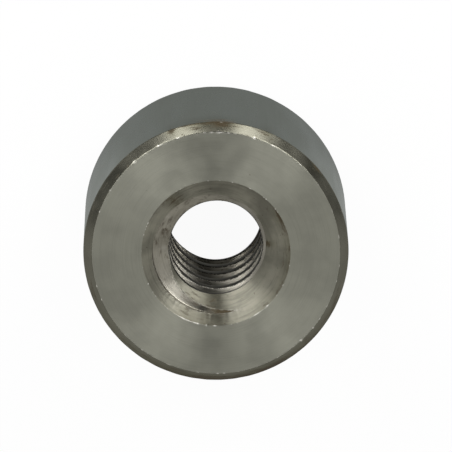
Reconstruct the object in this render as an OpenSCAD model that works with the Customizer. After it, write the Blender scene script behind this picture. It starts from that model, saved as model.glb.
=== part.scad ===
// Round trapezoidal nut, turned from steel bar in one piece.
// A plain cylinder with both outer edges chamfered is bored through and cut with a
// right-hand, single-start trapezoidal thread. The front end has a wide countersink,
// and the back end of the bore has a light chamfer.
// The thread can be cut in two ways. Rings are the plain way: grooves of the true section,
// one pitch apart, with the bore's wall left whole between them. The helix is the full
// thread that a screw runs in, and its groove runs out over the countersink.
// The nut stands on its back end: its axis is Z, and the middle of that end is the origin.

/* [Body] */
// Outside diameter of the turned body
body_d = 26; // [20:0.5:40]
// Length of the nut from end face to end face
body_l = 18; // [12:0.5:40]
// Width of the 45 degree chamfer on both outer edges
edge_chamfer = 0.85; // [0.2:0.05:2]

/* [Thread] */
// How the thread is cut
thread_form = "rings"; // [rings, helix]
// Nominal diameter of the screw that runs in the nut
thread_d = 12; // [10:0.5:13]
// Rise of the thread in one turn
pitch = 3; // [2:0.5:4]
// Room between the screw's crest and the bottom of the groove, on the radius
root_gap = 0.25; // [0.1:0.05:0.4]
// How much the bore is opened past the basic minor diameter, on the diameter
bore_extra = 0.2; // [0:0.05:0.4]
// Angle between the two flanks of the groove
flank_angle = 30; // [20:1:40]

/* [Bore mouths] */
// Diameter of the countersink where it meets the front face
mouth_d = 14.6; // [13.5:0.1:17]
// Full angle of the countersink's cone
mouth_angle = 103; // [60:1:120]
// Width of the 45 degree chamfer at the back end of the bore
back_chamfer = 1.2; // [0.2:0.05:1.6]

/* [Hidden] */
$fn = 96;

body_r = body_d / 2;
mouth_r = mouth_d / 2;

// The bore's wall is what is left of the cylinder that the thread's crests lie on
bore_r = (thread_d - pitch + bore_extra) / 2;
mouth_depth = (mouth_r - bore_r) / tan(mouth_angle / 2);
bore_bottom = back_chamfer;
bore_top = body_l - mouth_depth;

// The groove is half a pitch wide at the pitch radius and narrows outwards to its root
pitch_r = (thread_d - pitch / 2) / 2;
root_r = thread_d / 2 + root_gap;
function groove_half_width(r) = pitch / 4 + (pitch_r - r) * tan(flank_angle / 2);

// The groove's tool also reaches inwards, into the empty bore, so that it cuts cleanly
tool_reach = 0.4;
tool_inner_r = bore_r - tool_reach;

// Corners of the groove's section as [radius, height above its middle], counter-clockwise
groove_section = [
    [tool_inner_r, -groove_half_width(tool_inner_r)],
    [root_r, -groove_half_width(root_r)],
    [root_r, groove_half_width(root_r)],
    [tool_inner_r, groove_half_width(tool_inner_r)],
];

// As many whole rings as the bore's wall has room for, centred along it
ring_room = bore_top - bore_bottom - 2 * groove_half_width(bore_r);
ring_count = floor(ring_room / pitch) + 1;
first_ring = (bore_bottom + bore_top - (ring_count - 1) * pitch) / 2;

module thread_rings() {
    for (ring = [0 : ring_count - 1])
        translate([0, 0, first_ring + ring * pitch])
            rotate_extrude()
                polygon(groove_section);
}

// The helix starts below the back end and runs on past the front, and its groove's middle
// crosses the back end in the direction helix_turn, counter-clockwise from X
helix_turn = -24;
steps_per_turn = 48;
step_rise = pitch / steps_per_turn;
helix_below = groove_half_width(tool_inner_r) + step_rise;
helix_steps = ceil((body_l + 2 * helix_below) / step_rise);

// One corner of the section, carried round the axis to the height z of the groove's middle
function on_helix(corner, z) =
    let (turn = helix_turn + 360 * z / pitch)
    [corner[0] * cos(turn), corner[0] * sin(turn), z + corner[1]];

// The helical tool: a section at each step, skinned with triangles and closed at both ends
module thread_helix() {
    sides = len(groove_section);
    points = [
        for (step = [0 : helix_steps])
            for (corner = groove_section)
                on_helix(corner, step * step_rise - helix_below)
    ];
    skin = [
        for (step = [0 : helix_steps - 1])
            for (side = [0 : sides - 1])
                let (next = (side + 1) % sides, low = step * sides, high = low + sides)
                each [
                    [low + side, low + next, high + side],
                    [low + next, high + next, high + side],
                ]
    ];
    last = helix_steps * sides;
    first_cap = [[0, 2, 1], [0, 3, 2]];
    last_cap = [[last, last + 1, last + 2], [last, last + 2, last + 3]];
    polyhedron(points, concat(skin, first_cap, last_cap));
}

// The turned blank: half its section, spun round the axis
module turned_blank() {
    rotate_extrude()
        polygon([
            [bore_r + back_chamfer, 0],
            [body_r - edge_chamfer, 0],
            [body_r, edge_chamfer],
            [body_r, body_l - edge_chamfer],
            [body_r - edge_chamfer, body_l],
            [mouth_r, body_l],
            [bore_r, bore_top],
            [bore_r, bore_bottom],
        ]);
}

module nut() {
    color("#80827a")
        difference() {
            turned_blank();
            if (thread_form == "helix") thread_helix();
            else thread_rings();
        }
}

nut();
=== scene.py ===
# %% [markdown]
# # A turned trapezoidal nut
# This nut runs on a lead screw. It is one piece of steel bar that was faced, chamfered, bored,
# countersunk and threaded on a lathe, so everything on it is round about one axis except the
# thread, which climbs.
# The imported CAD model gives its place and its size. Here it gets the true helix of the thread,
# edges that are broken as real ones are, and the marks that each cut left on the steel.

import bpy
import numpy as np
from mathutils import Matrix, Vector


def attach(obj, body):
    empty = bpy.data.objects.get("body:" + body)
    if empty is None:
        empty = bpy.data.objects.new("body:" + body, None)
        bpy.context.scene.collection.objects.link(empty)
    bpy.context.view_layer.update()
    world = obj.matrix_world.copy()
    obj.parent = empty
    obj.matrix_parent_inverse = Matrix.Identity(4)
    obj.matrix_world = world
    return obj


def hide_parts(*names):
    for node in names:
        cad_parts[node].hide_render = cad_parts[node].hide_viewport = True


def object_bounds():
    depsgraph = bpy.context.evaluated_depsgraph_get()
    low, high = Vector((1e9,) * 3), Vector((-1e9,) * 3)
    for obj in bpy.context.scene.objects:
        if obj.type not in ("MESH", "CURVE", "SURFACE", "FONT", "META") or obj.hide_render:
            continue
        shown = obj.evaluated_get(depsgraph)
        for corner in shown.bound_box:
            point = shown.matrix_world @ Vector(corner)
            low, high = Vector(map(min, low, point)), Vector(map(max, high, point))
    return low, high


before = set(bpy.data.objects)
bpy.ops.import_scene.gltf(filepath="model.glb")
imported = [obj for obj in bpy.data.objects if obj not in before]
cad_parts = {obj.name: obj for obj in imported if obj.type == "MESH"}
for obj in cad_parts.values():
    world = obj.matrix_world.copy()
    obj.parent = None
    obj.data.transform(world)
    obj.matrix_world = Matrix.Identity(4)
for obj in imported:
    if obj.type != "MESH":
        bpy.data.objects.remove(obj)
cad_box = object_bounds()
millimetre = 0.001
cad_size = [round((high - low) / millimetre, 3) for low, high in zip(*cad_box)]
print("CAD box of the nut in mm:", cad_size)

# %% [markdown]
# ## The camera
# The picture was taken with a long lens from almost straight ahead of the countersunk end, so
# the far end looks hardly smaller than the near one. A camera could be turned by hand until the
# view looks right. Here the view is worked out from three plain facts: how far the line of sight
# is off the nut's axis, how long the lens is in pixels, and where the middle of the front face
# lies from the camera, in millimetres to its right, downwards and away.

# %% Camera
image_pixels = 452
lens_pixels = 8000.0
sensor_width = 36.0
view_off_axis = np.radians(13.2)
view_aside = np.radians(-0.303)
face_from_camera = np.array([-0.979, 2.678, 783.0])
nut_length = cad_size[2]


def view_axes():
    """The nut's X, Y and Z as rows, in the camera's right, down and away directions.

    Z points at the viewer and is tipped by the two small angles. X is the picture's right with
    its share along Z taken off, and Y is square to both.
    """
    level = np.cos(view_off_axis)
    axis = np.array([-np.sin(view_aside) * level, np.sin(view_off_axis), -np.cos(view_aside) * level])
    across = np.array([1.0, 0.0, 0.0]) - axis[0] * axis
    across /= np.linalg.norm(across)
    return np.array([across, np.cross(axis, across), axis])


nut_from_camera = view_axes()
camera_place = np.array([0.0, 0.0, nut_length]) - nut_from_camera @ face_from_camera
camera_turn = nut_from_camera @ np.diag([1.0, -1.0, -1.0])
camera_data = bpy.data.cameras.new("long_lens")
camera_data.sensor_width = sensor_width
camera_data.lens = lens_pixels / image_pixels * sensor_width
camera = bpy.data.objects.new("long_lens", camera_data)
camera.matrix_world = Matrix.Translation(camera_place * millimetre) @ Matrix(camera_turn).to_4x4()
bpy.context.collection.objects.link(camera)
bpy.context.scene.camera = camera
bpy.context.scene.view_settings.view_transform = "Standard"
print("camera at", np.round(camera_place, 1), "mm with a", round(camera_data.lens), "mm lens")

# %% [markdown]
# ## The nut's sizes
# The outside comes from the CAD model's box, and the rest are the sizes in the part's source,
# in millimetres. The thread's section is set by its pitch: the groove is half a pitch wide at
# the pitch radius, and its flanks lean 15 degrees. The groove's middle crosses the back end in
# the direction groove_turn.

# %% Sizes
outside_r = cad_size[0] / 2
outer_chamfer = 0.85
face_edge_r = outside_r - outer_chamfer
bore_r = 4.6
root_r = 6.25
pitch = 3.0
pitch_r = 5.25
flank_lean = np.tan(np.radians(15.0))
half_root = pitch / 4 - (root_r - pitch_r) * flank_lean
groove_turn = np.radians(-24.0)
mouth_r = 7.3
mouth_slope = np.tan(np.radians(103.0 / 2))
back_chamfer = 1.2
cone_bottom = nut_length - (mouth_r - bore_r) / mouth_slope
root_top = nut_length - (mouth_r - root_r) / mouth_slope
print("countersink is", round(nut_length - cone_bottom, 2), "mm deep")

# %% [markdown]
# ## Two helpers: chance round a turn, and a rounded largest value
# Worn edges are uneven, but a nut has no beginning and no end, so the unevenness has to close on
# itself after one turn. A sum of whole waves does that. The second helper takes the larger of two
# radii, as when two cuts meet, and rounds the edge between them as a file or a worn tool does.

# %% Helpers for the bore
columns = 480
turn = np.linspace(0.0, 2.0 * np.pi, columns + 1)
chance = np.random.default_rng(12)


def around_noise(waves, first):
    """A smooth random curve over one turn, about 1 in size.

    It is a sum of cosines that fit 'first', 'first + 1' and more times into the turn.
    """
    count = np.arange(first, first + waves)
    phase = chance.uniform(0.0, 2.0 * np.pi, waves)
    height = chance.normal(0.0, np.sqrt(2.0 / waves), waves)
    return np.cos(turn[:, None] * count + phase) @ height


def blended_max(a, b, blend):
    """The larger of two radii, and how near they are to crossing, from 0 to 1.

    Where they differ by less than the blend, a quarter of the blend times that nearness is
    added, which rounds the crossing off.
    """
    near = np.clip(1.0 - np.abs(a - b) / blend, 0.0, 1.0) ** 2
    return np.maximum(a, b) + blend * near / 4.0, near


groove_rounding = 0.13 * np.clip(1.0 + 0.35 * around_noise(90, 20), 0.35, 2.2)
print("groove edges rounded by", np.round([groove_rounding.min(), groove_rounding.max()], 3), "mm")

# %% [markdown]
# ## The wall of the bore
# Seen along one direction, the inside of the nut is a line: the back chamfer, the bore, the
# countersink's cone, and a groove wherever the thread passes. One could model a groove and sweep
# it, and then fight with the places where it runs out over the cone. It is easier to see that
# the empty space is the sum of four cuts, so that the radius at each height is the largest of
# their radii. The groove then runs in over the cone by itself, as it does behind a real tool.
# The crests get a mark as well: a painted highlight that grows lighter towards their deeper side.

# %% Radius of the bore's wall
land_rounding = 0.06
root_rounding = 0.34
edge_wear = 0.3
# over this width the crests' painted highlight fades from their deeper side
crest_highlight_width = 2.0


def bore_wall(z, angle, blend):
    """Radius at height z and at an angle: the largest of bore, cone, back chamfer and groove.

    The groove's middle climbs one pitch a turn. Its radius falls from the pitch radius by
    the distance from its middle over the flank's lean, and stops at the root.
    An edge mark for rounded edges and for the crests' painted highlight, whether the point is in
    the groove, and its height from the groove's middle follow.
    """
    cone = mouth_r - (nut_length - z) * mouth_slope
    plain, cone_edge = blended_max(cone, np.full_like(z, bore_r), land_rounding)
    plain, back_edge = blended_max(plain, bore_r + back_chamfer - z, land_rounding)
    climb = (angle - groove_turn) / (2.0 * np.pi) * pitch
    from_middle = (z - climb + pitch / 2) % pitch - pitch / 2
    flank = pitch_r + (pitch / 4 - np.abs(from_middle)) / flank_lean
    groove = -blended_max(-flank, np.full_like(z, -root_r), root_rounding)[0]
    radius, groove_edge = blended_max(plain, groove, blend)
    in_groove = groove > plain
    on_deep_side = (from_middle > 0.0) & (z < cone_bottom)
    # painted highlight on the crests: lightest at their deeper side, fading across them
    crest_highlight = np.where(on_deep_side, 1.0 - (bore_r - flank) / crest_highlight_width, 0.0)
    wear_and_highlight = np.where(in_groove, 0.0, np.maximum(crest_highlight, edge_wear * groove_edge))
    wear_and_highlight = np.maximum(wear_and_highlight, edge_wear * np.maximum(cone_edge, back_edge))
    return radius, np.clip(wear_and_highlight, 0.0, 1.0), in_groove, from_middle


half_way = np.full(1, nut_length / 2)
print("bore wall half way up, towards X:", np.round(bore_wall(half_way, 0.0, land_rounding)[0], 3), "mm")

# %% [markdown]
# ## Rows that follow the edges
# A plain grid over height and angle would cut the climbing edges into steps. Instead each
# column of the grid puts its rows exactly where the edges are at its own angle: both ends of
# every groove, its two root corners, and the ends of the chamfer and the cone on every land in
# between. A few rows lie close to each of them, to carry its rounding. Where a groove has run
# out, its rows fall together, and they are merged later.

# %% Heights of the edges
groove_number = np.arange(-1, 7)
groove_middle = (turn[:, None] - groove_turn) / (2.0 * np.pi) * pitch + groove_number * pitch
plain_start = np.array([bore_r, mouth_r - nut_length * mouth_slope, bore_r + back_chamfer])
plain_slope = np.array([0.0, mouth_slope, -1.0])


def groove_ends():
    """Lowest and highest height of each groove: where its flanks cross the bore, cone or chamfer.

    Each of the three is a line, a start plus a slope times the height. A rising flank has left
    them all at the highest crossing, and a falling flank meets the first at the lowest. The root
    meets the cone at a height of its own.
    """
    rising = (pitch / 4 - groove_middle)[..., None] / flank_lean + pitch_r
    falling = (pitch / 4 + groove_middle)[..., None] / flank_lean + pitch_r
    low = ((plain_start - rising) / (1.0 / flank_lean - plain_slope)).max(axis=-1)
    high = ((falling - plain_start) / (1.0 / flank_lean + plain_slope)).min(axis=-1)
    high = np.minimum(high, root_top)
    return np.clip(np.minimum(low, high), 0.0, nut_length), np.clip(high, 0.0, nut_length)


groove_low, groove_high = groove_ends()
root_corners = [np.clip(groove_middle + side * half_root, groove_low, groove_high) for side in (-1, 1)]
land_low = np.hstack([np.zeros((columns + 1, 1)), groove_high])
land_high = np.hstack([groove_low, np.full((columns + 1, 1), nut_length)])
land_edges = [np.clip(height, land_low, land_high) for height in (back_chamfer, cone_bottom)]
edge_heights = np.hstack([groove_low, *root_corners, groove_high, *land_edges])
row_offsets = np.array([-0.085, -0.045, -0.018, 0.018, 0.045, 0.085])
inner_z = np.sort((edge_heights[..., None] + row_offsets).reshape(columns + 1, -1), axis=1)
inner_count = inner_z.shape[1]
print("rows up the bore:", inner_count, "in each of", columns, "columns")

# %% [markdown]
# ## The outside, corner by corner
# The rest of the outline has six corners: the countersink's rim, the two ends of each outer
# chamfer, and the back end of the bore. A bevel tool would give each the same neat width. Real
# edges vary: the lathe leaves a trace of burr, and handling knocks it down here and there. So
# each corner is a short curve whose size wanders round the turn, with a few deeper nicks. The
# one at the back end follows later, because the groove runs out through it.

# %% Rounded corners
curve_steps = np.linspace(0.0, 1.0, 5)
support = 1.8
diagonal = np.sqrt(0.5)
mouth_side = np.array([-mouth_slope, -1.0]) / np.hypot(mouth_slope, 1.0)


def nicks(places):
    """Extra width or mark round the turn: a smooth bump for each (degrees, half width, height)."""
    angle, width, height = np.array(places).T
    apart = np.abs((np.degrees(turn)[:, None] - angle + 180.0) % 360.0 - 180.0)
    return (height * np.exp(-((apart / width) ** 2))).sum(axis=1)


def uneven(width, wander, waves, first):
    """An edge's width in mm round the turn, which wanders by a share of itself."""
    return width * np.clip(1.0 + wander * around_noise(waves, first), 0.4, 2.4)


def broken_edge(corner, before, after, size):
    """Rows round a corner: along one side, over a curve, and along the other.

    The curve is corner + size * ((1 - t)^2 * before + t^2 * after), and one more row stands
    further out on each side, so that the flat faces beside it stay flat.
    """
    t = curve_steps[:, None]
    path = [support * np.array(before), *((1 - t) ** 2 * before + t**2 * after), support * np.array(after)]
    return np.asarray(corner) + size[:, None, None] * np.array(path)


rim_size = uneven(0.055, 0.45, 70, 15)
rim_size += nicks([(-97, 1.2, 0.10), (-63, 0.9, 0.08), (-48, 1.4, 0.09), (171, 1.0, 0.06)])
face_size = uneven(0.07, 0.3, 60, 8)
face_size += nicks([(-47, 1.1, 0.12), (118, 0.8, 0.10), (131, 1.0, 0.12), (72, 0.9, 0.10), (89, 1.1, 0.15)])
wall_size = uneven(0.07, 0.3, 60, 8) + nicks([(52, 0.8, 0.12), (95, 1.4, 0.10), (-20, 1.0, 0.10)])
low_size = uneven(0.08, 0.3, 60, 8)
rim = broken_edge((mouth_r, nut_length), mouth_side, (1, 0), rim_size)
face_edge = broken_edge((face_edge_r, nut_length), (-1, 0), (diagonal, -diagonal), face_size)
wall_top = (outside_r, nut_length - outer_chamfer)
wall_edge = broken_edge(wall_top, (-diagonal, diagonal), (0, -1), wall_size)
low_wall_edge = broken_edge((outside_r, outer_chamfer), (0, 1), (-diagonal, -diagonal), low_size)
foot_edge = broken_edge((face_edge_r, 0.0), (diagonal, diagonal), (-1, 0), low_size)
print("face edge is", np.round([face_size.min(), face_size.max()], 3), "mm wide")

# %% [markdown]
# ## One closed outline for each column
# The rows are now strung together: up the bore, over the rim, across the face, down the wall, and
# back under. Flat stretches get a few rows of their own. The back end of the bore is a corner
# whose place moves in and out as the groove passes, so its curve starts from the wall that was
# worked out above.

# %% Loop of every column
blend_rows = groove_rounding[:, None]
turn_rows = turn[:, None]
back_size = 0.05
inner_z = np.clip(inner_z, support * back_size, rim[:, :1, 1])
inner_r, inner_wear_and_highlight, in_groove, from_middle = bore_wall(inner_z, turn_rows, blend_rows)


def stretch(start, end, count):
    """Rows spread evenly between two rows, without the two."""
    t = np.linspace(0.0, 1.0, count + 2)[1:-1, None]
    return start[:, None, :] * (1 - t) + end[:, None, :] * t


back_r = bore_wall(np.zeros((columns + 1, 1)), turn_rows, blend_rows)[0][:, 0]
back_corner = np.stack([back_r, np.zeros(columns + 1)], axis=1)
rise = np.stack([inner_r[:, 0], inner_z[:, 0]], axis=1) - back_corner
rise /= np.linalg.norm(rise, axis=1, keepdims=True)
back_t = curve_steps[:, None]
back_curve = (1 - back_t) ** 2 * np.array([1.0, 0.0]) + back_t**2 * rise[:, None, :]
back_rim = back_corner[:, None, :] + back_size * back_curve

corners = [rim[:, 1:], face_edge, wall_edge, low_wall_edge, foot_edge, back_rim]
flat_rows = [4, 2, 4, 2, 4]
outline = [np.stack([inner_r, inner_z], axis=2)]
for corner, next_corner, flats in zip(corners, corners[1:], flat_rows):
    outline += [corner, stretch(corner[:, -1], next_corner[:, 0], flats)]
outline = np.concatenate([*outline, back_rim], axis=1)
row_count = outline.shape[1]
radius, height = outline[..., 0], outline[..., 1]
print("points in one column's loop:", row_count)

# %% [markdown]
# ## Where the edges shine
# A burr that has been knocked down shows bare, bright metal. It isn't a line of even width: most
# of an edge is dull, with short bright chips on it. Each point gets a number for that, which the
# finishes read later. Noise that has to pass a threshold gives the scattered chips, and a few are
# placed where the real nut has its largest ones. The edge to the wall is duller, so its
# chips are turned down.

# %% Marks of chipped edges and of the crests' painted highlight
curve_mark = np.concatenate([[0.0], 1.0 - (2.0 * curve_steps - 1.0) ** 2, [0.0]])
rim_burr = nicks([(-91, 1.0, 2.0), (-109, 5.0, 1.4), (-119, 3.0, 1.2), (-57, 3.0, 1.0), (-46, 1.2, 1.6)])
face_burr = nicks([(88, 1.2, 2.0), (92, 0.6, 1.6), (117, 1.2, 0.7), (131, 1.0, 0.6), (62, 2.0, 0.4)])
wall_burr = -0.6
burrs = [rim_burr, face_burr, wall_burr, 0.0, 0.0]
chip_threshold = 0.9
brightest = 1.4
# inside the bore, the edge mark also holds the crests' painted highlight
edge_mark = [inner_wear_and_highlight]
for corner, flats, burr in zip(corners, flat_rows, burrs):
    chips = np.clip(around_noise(140, 25) - chip_threshold, 0.0, 2.0) ** 2 + burr
    mark = np.clip(curve_mark[-corner.shape[1] :] * chips[:, None], 0.0, brightest)
    edge_mark += [mark, np.zeros((columns + 1, flats))]
edge_mark = np.concatenate([*edge_mark, np.zeros(back_rim.shape[:2])], axis=1)
# this count includes the crests' painted highlight
print("points with bright metal:", int((edge_mark > 0.5).sum()))

# %% [markdown]
# ## Where the stains and the painted shade are
# Oil and the first rust settle where a hand doesn't wipe them off: on the chamfer, in the
# countersink and at the thin start of the groove. A texture alone would put them anywhere. So a
# second number for each point says how much more stain there is at this place. The same number
# carries painted shade as well: it darkens the lower half of the outer chamfer, and the thread
# more the deeper it goes. It also darkens a band just inside the countersink's rim, on the side
# towards X. The finishes lay a film of old oil by it, and a texture breaks the rust on top of it up.

# %% Marks of stains and painted shade
front_depth = 1.2
rim_from, bore_until, fade = 0.8, 0.5, 0.2
on_front = height > nut_length - front_depth
on_chamfer = np.clip((radius - face_edge_r) / outer_chamfer, 0.0, 1.0) * on_front
in_mouth = (radius < mouth_r) * (height > cone_bottom)
chamfer_stain_and_shade = nicks([(97, 8.0, 0.8), (87, 6.0, 1.0), (110, 2.0, 0.8), (67, 3.0, 0.8), (41, 4.0, 0.8)])
# stains at the top; the broad mark at -85 degrees is painted shade that darkens the chamfer's lower half
chamfer_stain_and_shade += nicks([(-85, 60.0, 1.1), (90, 30.0, 0.25)])
mouth_stain = nicks([(128, 7.0, 0.8), (-93, 13.0, 0.6), (-115, 8.0, 0.4)])
up_mouth = np.clip((radius - bore_r) / (mouth_r - bore_r), 0.0, 1.0)
by_rim = np.clip((up_mouth - rim_from) / fade, 0.0, 1.0) * in_mouth
by_bore = np.clip((bore_until - up_mouth) / fade, 0.0, 1.0) * in_mouth
# a darker band just inside the countersink's rim, on the side towards X
rim_band = nicks([(30, 7.0, 0.8), (-5, 40.0, 0.8)])
bore_stain = nicks([(6, 4.0, 1.2)])
start_stain = nicks([(-80, 9.0, 2.2)])
ledge_stain = nicks([(110, 50.0, 0.5), (180, 40.0, 0.4)])
ledge_depth = 1.0
# painted shade in the thread: how dark it gets at its deepest, and over what depth it grows
deepest_painted_shade = 0.45
painted_shade_depth = 11.0
stain_and_shade_mark = chamfer_stain_and_shade[:, None] * on_chamfer + mouth_stain[:, None] * in_mouth
stain_and_shade_mark += rim_band[:, None] * by_rim + bore_stain[:, None] * by_bore
# painted shade that grows with depth below the countersink, then stains at the groove's start and ledge
inner_stain_and_shade = deepest_painted_shade * np.clip((cone_bottom - inner_z) / painted_shade_depth, 0.0, 1.0)
inner_stain_and_shade += start_stain[:, None] * (inner_z > cone_bottom)
inner_stain_and_shade += ledge_stain[:, None] * (inner_z > cone_bottom - ledge_depth)
stain_and_shade_mark[:, :inner_count] += inner_stain_and_shade * in_groove
# this count includes points with painted shade
print("points with stains:", int((stain_and_shade_mark > 0.5).sum()))

# %% [markdown]
# ## Which cut made which face
# It is the same steel everywhere, but six cuts made it: the faced ends, the chamfers, the drawn
# outside of the bar, the countersink, the thread, and the bore that is left on its crests. Outside,
# the lean of a face tells them apart. Inside, the bore's formula does.

# %% Cut of every face
cut_names = ["faced_end", "turned_chamfer", "drawn_wall", "countersink", "thread", "crest_painted_shade"]
faced, chamfered, drawn, sunk, threaded, bored = range(len(cut_names))
loop = np.concatenate([outline, outline[:, :1]], axis=1)
middle = (loop[:-1, :-1] + loop[1:, :-1] + loop[:-1, 1:] + loop[1:, 1:]) / 4.0
run = loop[:-1, 1:] - loop[:-1, :-1] + loop[1:, 1:] - loop[1:, :-1]
lean = np.degrees(np.arctan2(np.abs(run[..., 1]), np.abs(run[..., 0])))
outer_cut = np.where(lean < 22.5, faced, np.where(lean < 67.5, chamfered, drawn))
middle_turn = (turn_rows[:-1] + turn_rows[1:]) / 2
middle_blend = (blend_rows[:-1] + blend_rows[1:]) / 2
middle_in_groove = bore_wall(middle[..., 1], middle_turn, middle_blend)[2]
inner_cut = np.where(middle[..., 1] > cone_bottom, sunk, bored)
inner_cut = np.where(middle_in_groove, threaded, inner_cut)
rim_rows_inside = 2
inside = np.arange(row_count) < inner_count + rim_rows_inside
cut = np.where(inside, inner_cut, outer_cut)
print("faces of each cut:", dict(zip(cut_names, np.bincount(cut.ravel()).tolist())))

# %% [markdown]
# ## The direction of the tool marks
# A lathe leaves fine rings, and in the thread they follow the helix. A UV map can carry that: V
# goes round the axis, and U is the length along the section. In the groove the length is counted
# from the groove's own middle, so a line of equal U climbs with the thread. Everywhere else it is
# counted along the plain profile, so such a line is a circle.

# %% Length along the section
uv_length = 10.0
off_root = np.maximum(np.abs(from_middle) - half_root, 0.0)
groove_length = np.minimum(np.abs(from_middle), half_root) + off_root * np.hypot(1.0, 1.0 / flank_lean)
up_cone = np.maximum(inner_z - cone_bottom, 0.0)
plain_length = inner_z + up_cone * (np.hypot(1.0, mouth_slope) - 1.0)
inner_along = np.where(in_groove, np.sign(from_middle) * groove_length, plain_length)
step_length = np.linalg.norm(np.diff(loop, axis=1), axis=2)
outer_along = plain_length[:, -1:] + np.cumsum(step_length[:, inner_count - 1 :], axis=1)
along = np.concatenate([inner_along, outer_along], axis=1) / uv_length
around = np.repeat(turn_rows / (2.0 * np.pi), row_count + 1, axis=1)
print("profile from the rim to the back of the bore:", round(float(np.ptp(outer_along)), 1), "mm")

# %% [markdown]
# ## The mesh
# The grid is now turned into triangles. Its last column lies on its first, but one groove further
# up, so the rows don't meet by their number. Points that fall on each other are merged by their
# place instead, which closes the helix, and triangles that have shrunk to nothing are left out.

# %% Points and triangles
ways_round = np.stack([np.cos(turn_rows), np.sin(turn_rows)], axis=2)
points = np.concatenate([radius[..., None] * ways_round, height[..., None]], axis=2).reshape(-1, 3)
merge_step = 2e-5
rounded_points = np.round(points / merge_step)
_, first_seen, number = np.unique(rounded_points, axis=0, return_index=True, return_inverse=True)
number = number.reshape(columns + 1, row_count)
number = np.concatenate([number, number[:, :1]], axis=1)
here, after = slice(None, -1), slice(1, None)
quad_corners = [(here, here), (here, after), (after, after), (after, here)]
quads = np.stack([number[pick] for pick in quad_corners], axis=-1).reshape(-1, 4)
quad_uv = np.stack([np.stack([along[pick], around[pick]], axis=-1) for pick in quad_corners], axis=2)
quad_uv = quad_uv.reshape(-1, 4, 2)
halves = np.concatenate([quads[:, [0, 1, 2]], quads[:, [0, 2, 3]]])
half_uv = np.concatenate([quad_uv[:, [0, 1, 2]], quad_uv[:, [0, 2, 3]]])
half_cut = np.concatenate([cut.ravel(), cut.ravel()])
a, b, c = halves.T
kept = (a != b) & (b != c) & (c != a)
triangles, triangle_uv, triangle_cut = halves[kept], half_uv[kept], half_cut[kept]
places = points[first_seen] * millimetre
print(len(places), "points and", len(triangles), "triangles")

# %% [markdown]
# ## One piece for the CAD node
# Blender could be given each face in a loop, but it takes whole arrays as well: the points and
# triangles, then the number of each face's cut, the UV map and the two marks. The piece stands for
# the CAD node. The volume and the number of edges that lack two triangles are printed.

# %% Mesh of the nut
sharp_angle = np.radians(50.0)
nut_mesh = bpy.data.meshes.new("turned_nut")
nut_mesh.from_pydata(places, [], triangles)
nut_mesh.polygons.foreach_set("material_index", triangle_cut.astype(np.int32))
nut_mesh.polygons.foreach_set("use_smooth", np.ones(len(triangles), dtype=bool))
turning = nut_mesh.uv_layers.new(name="turning")
turning.uv.foreach_set("vector", triangle_uv.astype(np.float32).ravel())
# the stain attribute carries painted shade as well, and the edge attribute the crests' painted highlight
for mark_name, mark in (("edge", edge_mark), ("stain", stain_and_shade_mark)):
    attribute = nut_mesh.attributes.new(mark_name, "FLOAT", "POINT")
    attribute.data.foreach_set("value", mark.reshape(-1)[first_seen].astype(np.float32))
nut_mesh.set_sharp_from_angle(angle=sharp_angle)
nut_mesh.validate()
turned_nut = bpy.data.objects.new("turned_nut", nut_mesh)
bpy.context.collection.objects.link(turned_nut)
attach(turned_nut, "root")
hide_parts("nut")
triangle_points = points[first_seen][triangles]
cone_to_origin = np.cross(triangle_points[:, 1], triangle_points[:, 2])
volume = np.einsum("ij,ij->i", triangle_points[:, 0], cone_to_origin).sum() / 6.0
sides = np.concatenate([triangles[:, [0, 1]], triangles[:, [1, 2]], triangles[:, [2, 0]]])
open_edges = (np.unique(np.sort(sides, axis=1), axis=0, return_counts=True)[1] != 2).sum()
print("volume", round(volume, 1), "mm3,", open_edges, "open edges")

# %% [markdown]
# ## Small words for nodes
# A material is a net of nodes. Made one by one, each node takes several lines, and the net is hard
# to read. These four helpers say the same in one line each: a node with its inputs, a smooth step,
# one colour over another, and a sum or product.

# %% Node helpers


def add_node(tree, kind, inputs=None, **settings):
    """A new node with values or links on its sockets, by name or number, and settings on itself."""
    made = tree.nodes.new(kind)
    for name, value in settings.items():
        setattr(made, name, value)
    for socket, value in (inputs or {}).items():
        if isinstance(value, bpy.types.NodeSocket):
            tree.links.new(value, made.inputs[socket])
        else:
            made.inputs[socket].default_value = value
    return made


def ramp(tree, value, low, high, to_low=0.0, to_high=1.0):
    """A smooth step from to_low to to_high as the value goes from low to high."""
    inputs = {"Value": value, 1: low, 2: high, 3: to_low, 4: to_high}
    return add_node(tree, "ShaderNodeMapRange", inputs, interpolation_type="SMOOTHSTEP").outputs[0]


def blend_colour(tree, amount, first, second):
    """The second colour laid over the first by an amount."""
    inputs = {0: amount, 6: first, 7: second}
    return add_node(tree, "ShaderNodeMix", inputs, data_type="RGBA").outputs[2]


def calculate(tree, operation, first, second):
    """One sum, product or other result of two values."""
    return add_node(tree, "ShaderNodeMath", {0: first, 1: second}, operation=operation).outputs[0]


print("node helpers ready")

# %% [markdown]
# ## Streaks that close on themselves
# Stains on a turned part run along its rings. The UV map could draw a texture out in that way, but
# its V starts again after each turn, and the stains would show a seam there. So they are placed by
# the direction from the axis, which has no start, and only the length along the section comes from U.

# %% Coordinates of the streaks
streak_scale = 5.0
streak_packing = 4.5


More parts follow.
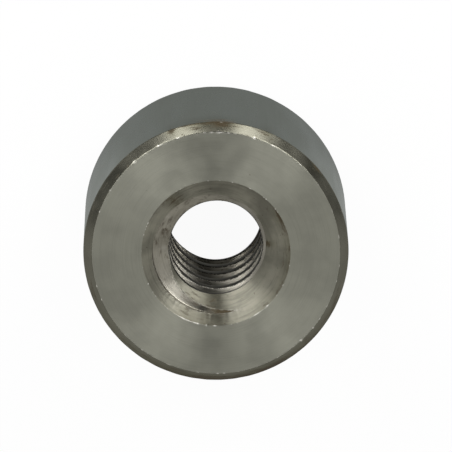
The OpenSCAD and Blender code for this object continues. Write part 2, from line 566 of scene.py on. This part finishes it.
def round_the_axis(tree, place, turning_uv):
    """Coordinates for streaks: X and Y are the direction from the axis, with a length of one.

    Z is the length along the section, from the UV map, times how closely the streaks are packed.
    """
    level = add_node(tree, "ShaderNodeMapping", {"Vector": place, "Scale": (1.0, 1.0, 0.0)}).outputs[0]
    way_round = add_node(tree, "ShaderNodeVectorMath", {0: level}, operation="NORMALIZE").outputs[0]
    section = add_node(tree, "ShaderNodeSeparateXYZ", {0: turning_uv}).outputs["X"]
    section = calculate(tree, "MULTIPLY", section, streak_packing)
    section = add_node(tree, "ShaderNodeCombineXYZ", {"Z": section}).outputs[0]
    return add_node(tree, "ShaderNodeVectorMath", {0: way_round, 1: section}, operation="ADD").outputs[0]


print("streaks are about", round(uv_length / (streak_scale * streak_packing), 2), "mm wide")

# %% [markdown]
# ## Steel as one cut leaves it
# Turned steel isn't a grey mirror. Its fine rings draw a highlight out across them, which is what
# anisotropy does, along the direction that the UV map gives. Over that come clouds that are drawn
# out along the bar, darker rings, a film of old oil, brown stains, specks of rust, and bright metal
# on chipped edges. The film and the stains follow the stain mark, so they lay its painted shade
# too, and the edge colour also paints the crests' highlight. Rust isn't metal and hardly shines,
# so where it lies the metal share goes down and the surface gets rougher. One function makes all
# this, so that the six finishes differ only by their numbers. Each noise turns into its mark
# between two limits, which come first.

# %% Finish of one cut
brown = (0.046, 0.033, 0.018, 1.0)
cover = 0.85
rust_gloss = 0.15
# share of the tone left under old oil, and under the painted shade that the stain mark also carries
oil_film_and_shade = np.array([0.41, 0.39, 0.27])
cloud_scale, speck_scale = 300.0, 2600.0
along_bar = (1.0, 1.0, 0.2)
cloud_limits, rough_limits = (0.35, 0.65), (0.3, 0.7)
mark_limits, mark_shade = (0.45, 0.7), 0.6
stain_limits, stain_spread = np.array([0.60, 0.82]), 0.2
speck_limits, speck_spread = np.array([0.72, 0.84]), 0.1
film_weight, stain_weight, edge_weight = 0.6, 0.24, 0.7
smoother, rougher, rust_rougher = 0.04, 0.05, 0.2


def noise(tree, vector, scale, **settings):
    """A noise texture's value at a place."""
    names = {name.capitalize(): value for name, value in settings.items()}
    return add_node(tree, "ShaderNodeTexNoise", {"Vector": vector, "Scale": scale, **names}).outputs[0]


def shaded(tone, share):
    """A tone made darker or lighter by a share, as a colour."""
    return (*(share * np.array(tone)), 1.0)


def steel_finish(
    name, tone, mottle, roughness, anisotropy, marks, mark_depth, stain, specks, edge_tone, grazing
):
    """A cut steel surface, added to the nut's materials.

    mottle is how much the tone clouds over. marks are the tool marks, how many to a millimetre
    of the section and how many to a turn, and mark_depth is their depth in mm. stain and specks
    say how far brown stains and specks of rust spread. edge_tone is the colour of chipped edges
    and of the crests' painted highlight, and grazing is the share of light that is left where the
    surface is seen from the side.
    """
    material = bpy.data.materials.new(name)
    material.use_nodes = True
    tree = material.node_tree
    steel = tree.nodes["Principled BSDF"]
    steel.inputs["Anisotropic"].default_value = anisotropy
    steel.inputs["Specular IOR Level"].default_value = rust_gloss
    steel.inputs["Specular Tint"].default_value = shaded(grazing, 1.0)
    place = add_node(tree, "ShaderNodeTexCoord").outputs["Object"]
    turning_uv = add_node(tree, "ShaderNodeUVMap", uv_map="turning").outputs[0]
    along_marks = {"Vector": turning_uv, "Scale": (uv_length * marks[0], marks[1], 1.0)}
    along_marks = add_node(tree, "ShaderNodeMapping", along_marks).outputs[0]
    tooled = noise(tree, along_marks, 1.0, detail=4.0, roughness=0.6)
    drawn_out = add_node(tree, "ShaderNodeMapping", {"Vector": place, "Scale": along_bar}).outputs[0]
    cloud = noise(tree, drawn_out, cloud_scale, detail=5.0)
    streaks = round_the_axis(tree, place, turning_uv)
    blot = noise(tree, streaks, streak_scale, detail=7.0, roughness=0.68, distortion=0.3)
    speck = noise(tree, place, speck_scale, detail=2.0)
    # the edge mark: chipped edges, and the crests' painted highlight
    worn_and_highlit = add_node(tree, "ShaderNodeAttribute", attribute_name="edge").outputs["Fac"]
    # the stain mark: stains, and painted shade on the chamfer's lower half and deep in the thread
    placed = add_node(tree, "ShaderNodeAttribute", attribute_name="stain").outputs["Fac"]

    clouded = ramp(tree, cloud, *cloud_limits)
    colour = blend_colour(tree, clouded, shaded(tone, 1.0 - mottle), shaded(tone, 1.0 + mottle))
    marked = ramp(tree, tooled, *mark_limits, 0.0, 2.0 * mottle)
    colour = blend_colour(tree, marked, colour, shaded(tone, mark_shade))
    # the film darkens by the stain mark: old oil, and painted shade where the mark holds it
    film_and_shade = calculate(tree, "MULTIPLY", placed, film_weight)
    colour = blend_colour(tree, film_and_shade, colour, shaded(tone, oil_film_and_shade))
    blotted = calculate(tree, "ADD", blot, calculate(tree, "MULTIPLY", placed, stain_weight))
    stained = ramp(tree, blotted, *(stain_limits - stain_spread * stain), 0.0, cover)
    rusty = ramp(tree, speck, *(speck_limits - speck_spread * specks), 0.0, cover)
    stained = calculate(tree, "MAXIMUM", stained, rusty)
    colour = blend_colour(tree, stained, colour, brown)
    tree.links.new(calculate(tree, "SUBTRACT", 1.0, stained), steel.inputs["Metallic"])
    colour = blend_colour(tree, calculate(tree, "MULTIPLY", worn_and_highlit, edge_weight), colour, edge_tone)
    tree.links.new(colour, steel.inputs["Base Color"])

    rough = ramp(tree, cloud, *rough_limits, roughness - smoother, roughness + rougher)
    rough = calculate(tree, "ADD", rough, calculate(tree, "MULTIPLY", stained, rust_rougher))
    tree.links.new(rough, steel.inputs["Roughness"])
    bump = {"Strength": 1.0, "Distance": mark_depth * millimetre, "Height": tooled}
    tree.links.new(add_node(tree, "ShaderNodeBump", bump).outputs[0], steel.inputs["Normal"])
    across = add_node(tree, "ShaderNodeTangent", direction_type="UV_MAP", uv_map="turning").outputs[0]
    tree.links.new(across, steel.inputs["Tangent"])
    turned_nut.data.materials.append(material)
    print(name, "has", len(tree.nodes), "nodes")


# %% [markdown]
# ## The six finishes
# They are made in the order of the cut names, because a face finds its finish by its number. The
# faced end and the countersink have the strongest rings, so they show the bright sectors that a
# turned face has. The chamfer was cut last with a keen tool and is the smoothest. The outside is
# the drawn bar itself, dull and a little green, with fine lines along its length instead of rings.
# The crests are near black: painted shade, for the dark that they show deep in the bore.

# %% The six cuts
chipped_edge = (0.85, 0.83, 0.77, 1.0)
bright_edge = (0.50, 0.485, 0.44, 1.0)
dull_edge = (0.35, 0.34, 0.31, 1.0)
all_light = (1.0, 1.0, 1.0)
steel_finish(
    "faced_end", tone=(0.294, 0.293, 0.247), mottle=0.09, roughness=0.49, anisotropy=0.82,
    marks=(9.0, 9.0), mark_depth=0.004, stain=-0.4, specks=-0.3,
    edge_tone=chipped_edge, grazing=all_light,
)
steel_finish(
    "turned_chamfer", tone=(0.128, 0.1245, 0.100), mottle=0.10, roughness=0.235, anisotropy=0.2,
    marks=(7.0, 9.0), mark_depth=0.0025, stain=0.15, specks=0.4,
    edge_tone=bright_edge, grazing=(0.45, 0.45, 0.42),
)
steel_finish(
    "drawn_wall", tone=(0.170, 0.175, 0.151), mottle=0.09, roughness=0.27, anisotropy=0.0,
    marks=(0.12, 300.0), mark_depth=0.0020, stain=-0.3, specks=0.1,
    edge_tone=dull_edge, grazing=(0.84, 0.89, 0.86),
)
steel_finish(
    "countersink", tone=(0.240, 0.232, 0.188), mottle=0.28, roughness=0.45, anisotropy=0.90,
    marks=(2.8, 9.0), mark_depth=0.020, stain=0.05, specks=0.3,
    edge_tone=chipped_edge, grazing=all_light,
)
steel_finish(
    "thread", tone=(0.29, 0.276, 0.238), mottle=0.25, roughness=0.30, anisotropy=0.7,
    marks=(6.0, 9.0), mark_depth=0.016, stain=0.0, specks=0.3,
    edge_tone=bright_edge, grazing=all_light,
)
# painted shade: the crests' tone is near black for the dark that they show deep in the bore
steel_finish(
    "crest_painted_shade", tone=(0.05, 0.049, 0.043), mottle=0.25, roughness=0.36, anisotropy=0.4,
    marks=(4.0, 9.0), mark_depth=0.008, stain=0.2, specks=0.5,
    edge_tone=dull_edge, grazing=(0.45, 0.45, 0.43),
)
print("finishes on the nut:", [material.name for material in turned_nut.data.materials])

# %% [markdown]
# ## The floor
# The nut stands on a plain white floor. A lit white floor alone would go grey inside the bore and
# in the shadow. So most of its white is its own, given to the camera by the kind of ray that meets
# it, and the rest is lit and keeps a light shadow. The metal's reflections get it too, but close to
# the nut they see a grey: there the nut keeps the light off the floor, and its wall shows that. The
# grey is darker before and behind the nut than beside it, so the wall gets lighter towards its sides.

# %% Floor
floor_half = 3.0
floor_drop = 0.00002
paper_tone = (0.9, 0.9, 0.9, 1.0)
own_white_share = 0.95
grey_beyond, grey_beside = 0.40, 0.54
beyond_until, beside_from = 0.0115, 0.0155
grey_until, white_from = 0.03, 0.10
square = np.array([[-1, -1], [1, -1], [1, 1], [-1, 1]])
floor_corners = np.hstack([floor_half * square, np.full((4, 1), -floor_drop)])
floor_mesh = bpy.data.meshes.new("white_floor")
floor_mesh.from_pydata(floor_corners, [], [[0, 1, 2, 3]])
floor = bpy.data.objects.new("white_floor", floor_mesh)
bpy.context.collection.objects.link(floor)
paper = bpy.data.materials.new("white_paper")
paper.use_nodes = True
sheet = paper.node_tree
sheet.nodes.clear()
rays = add_node(sheet, "ShaderNodeLightPath").outputs
looked_at = calculate(sheet, "MAXIMUM", rays["Is Camera Ray"], rays["Is Transmission Ray"])
on_floor = add_node(sheet, "ShaderNodeTexCoord").outputs["Object"]
off_nut = add_node(sheet, "ShaderNodeVectorMath", {0: on_floor}, operation="LENGTH").outputs["Value"]
aside = add_node(sheet, "ShaderNodeSeparateXYZ", {0: on_floor}).outputs["X"]
aside = calculate(sheet, "ABSOLUTE", aside, 0.0)
mirrored_grey = ramp(sheet, aside, beyond_until, beside_from, grey_beyond, grey_beside)
mirrored = ramp(sheet, off_nut, grey_until, white_from, mirrored_grey, 1.0)
mirrored = calculate(sheet, "MULTIPLY", rays["Is Glossy Ray"], mirrored)
strength = calculate(sheet, "MAXIMUM", looked_at, mirrored)
seen = calculate(sheet, "MAXIMUM", looked_at, rays["Is Glossy Ray"])
own_white = calculate(sheet, "MULTIPLY", seen, own_white_share)
lit = add_node(sheet, "ShaderNodeBsdfDiffuse", {"Color": paper_tone}).outputs[0]
white = add_node(sheet, "ShaderNodeEmission", {"Strength": strength}).outputs[0]
surface = add_node(sheet, "ShaderNodeMixShader", {0: own_white, 1: lit, 2: white}).outputs[0]
add_node(sheet, "ShaderNodeOutputMaterial", {"Surface": surface})
floor_mesh.materials.append(paper)
print("floor", 2 * floor_half, "m wide")

# %% [markdown]
# ## The lamps
# Metal shows its surroundings, so the lamps were placed by what they do on it. Two tall soft boxes
# stand low beyond the nut and lean outwards. The chamfer and the countersink each show them as two
# bright streaks with a dark gap between. Two small lamps stand high up, beside the camera. Their
# light falls steeply, so it reaches down the bore and picks out the flanks of the thread.

# %% Lamps
aim = Vector((0.0, 0.0, nut_length * millimetre))


def soft_box(name, direction, height, lean, width, tall, brightness):
    """An area lamp that faces the nut from half a metre away.

    Its direction and height are angles in degrees, and it leans over sideways by an angle. Its
    power is its brightness times its area times pi, so a mirror shows that brightness.
    """
    distance = 0.5
    lamp = bpy.data.lights.new(name, "AREA")
    lamp.shape = "RECTANGLE"
    lamp.size, lamp.size_y = width, tall
    lamp.energy = brightness * width * tall * np.pi
    box = bpy.data.objects.new(name, lamp)
    direction, height = np.radians(direction), np.radians(height)
    level = np.cos(height)
    way = Vector((level * np.cos(direction), level * np.sin(direction), np.sin(height)))
    box.matrix_world = Matrix.LocRotScale(aim + way * distance, way.to_track_quat("Z", "Y"), None)
    box.matrix_world = box.matrix_world @ Matrix.Rotation(np.radians(lean), 4, "Z")
    bpy.context.collection.objects.link(box)
    print(name, "gives", round(lamp.energy, 2), "W")


soft_box("left_box", direction=121, height=26, lean=-58, width=0.16, tall=0.44, brightness=6.5)
soft_box("right_box", direction=59, height=26, lean=58, width=0.16, tall=0.44, brightness=6.8)
soft_box("left_lamp", direction=165, height=65.5, lean=0, width=0.06, tall=0.06, brightness=11.5)
soft_box("right_lamp", direction=46, height=69.5, lean=0, width=0.06, tall=0.06, brightness=9.5)

# %% [markdown]
# ## The room
# The rest of what the metal shows is the room. A single grey would do for plastic, but on steel
# the dark places matter as much as the bright ones. So the far wall is dark, the near wall and the
# sides of the ceiling are light, and the strip of ceiling above the camera is almost black. That
# strip is what darkens the thread in the middle of the picture.

# %% Room
far_wall = (0.22, 0.225, 0.22, 1.0)
near_wall = (0.75, 0.75, 0.73, 1.0)
mid_ceiling = (0.42, 0.42, 0.41, 1.0)
side_ceiling = (0.84, 0.84, 0.83, 1.0)
above_camera = (0.03, 0.03, 0.03, 1.0)
far_limits, strip_limits = (0.12, -0.3), (-0.1, 0.15)
side_limits, height_limits = (0.06, 0.45), (0.0, 0.8)
room = bpy.data.worlds.new("grey_room")
room.use_nodes = True
walls = room.node_tree
sky = add_node(walls, "ShaderNodeTexCoord").outputs["Generated"]
way = add_node(walls, "ShaderNodeSeparateXYZ", {0: sky}).outputs
aside = calculate(walls, "ABSOLUTE", way["X"], 0.0)
wall = blend_colour(walls, ramp(walls, way["Y"], *far_limits), far_wall, near_wall)
strip = blend_colour(walls, ramp(walls, way["Y"], *strip_limits), mid_ceiling, above_camera)
ceiling = blend_colour(walls, ramp(walls, aside, *side_limits), strip, side_ceiling)
shade = blend_colour(walls, ramp(walls, way["Z"], *height_limits), wall, ceiling)
walls.links.new(shade, walls.nodes["Background"].inputs["Color"])
bpy.context.scene.world = room
print("room has", len(walls.nodes), "nodes")
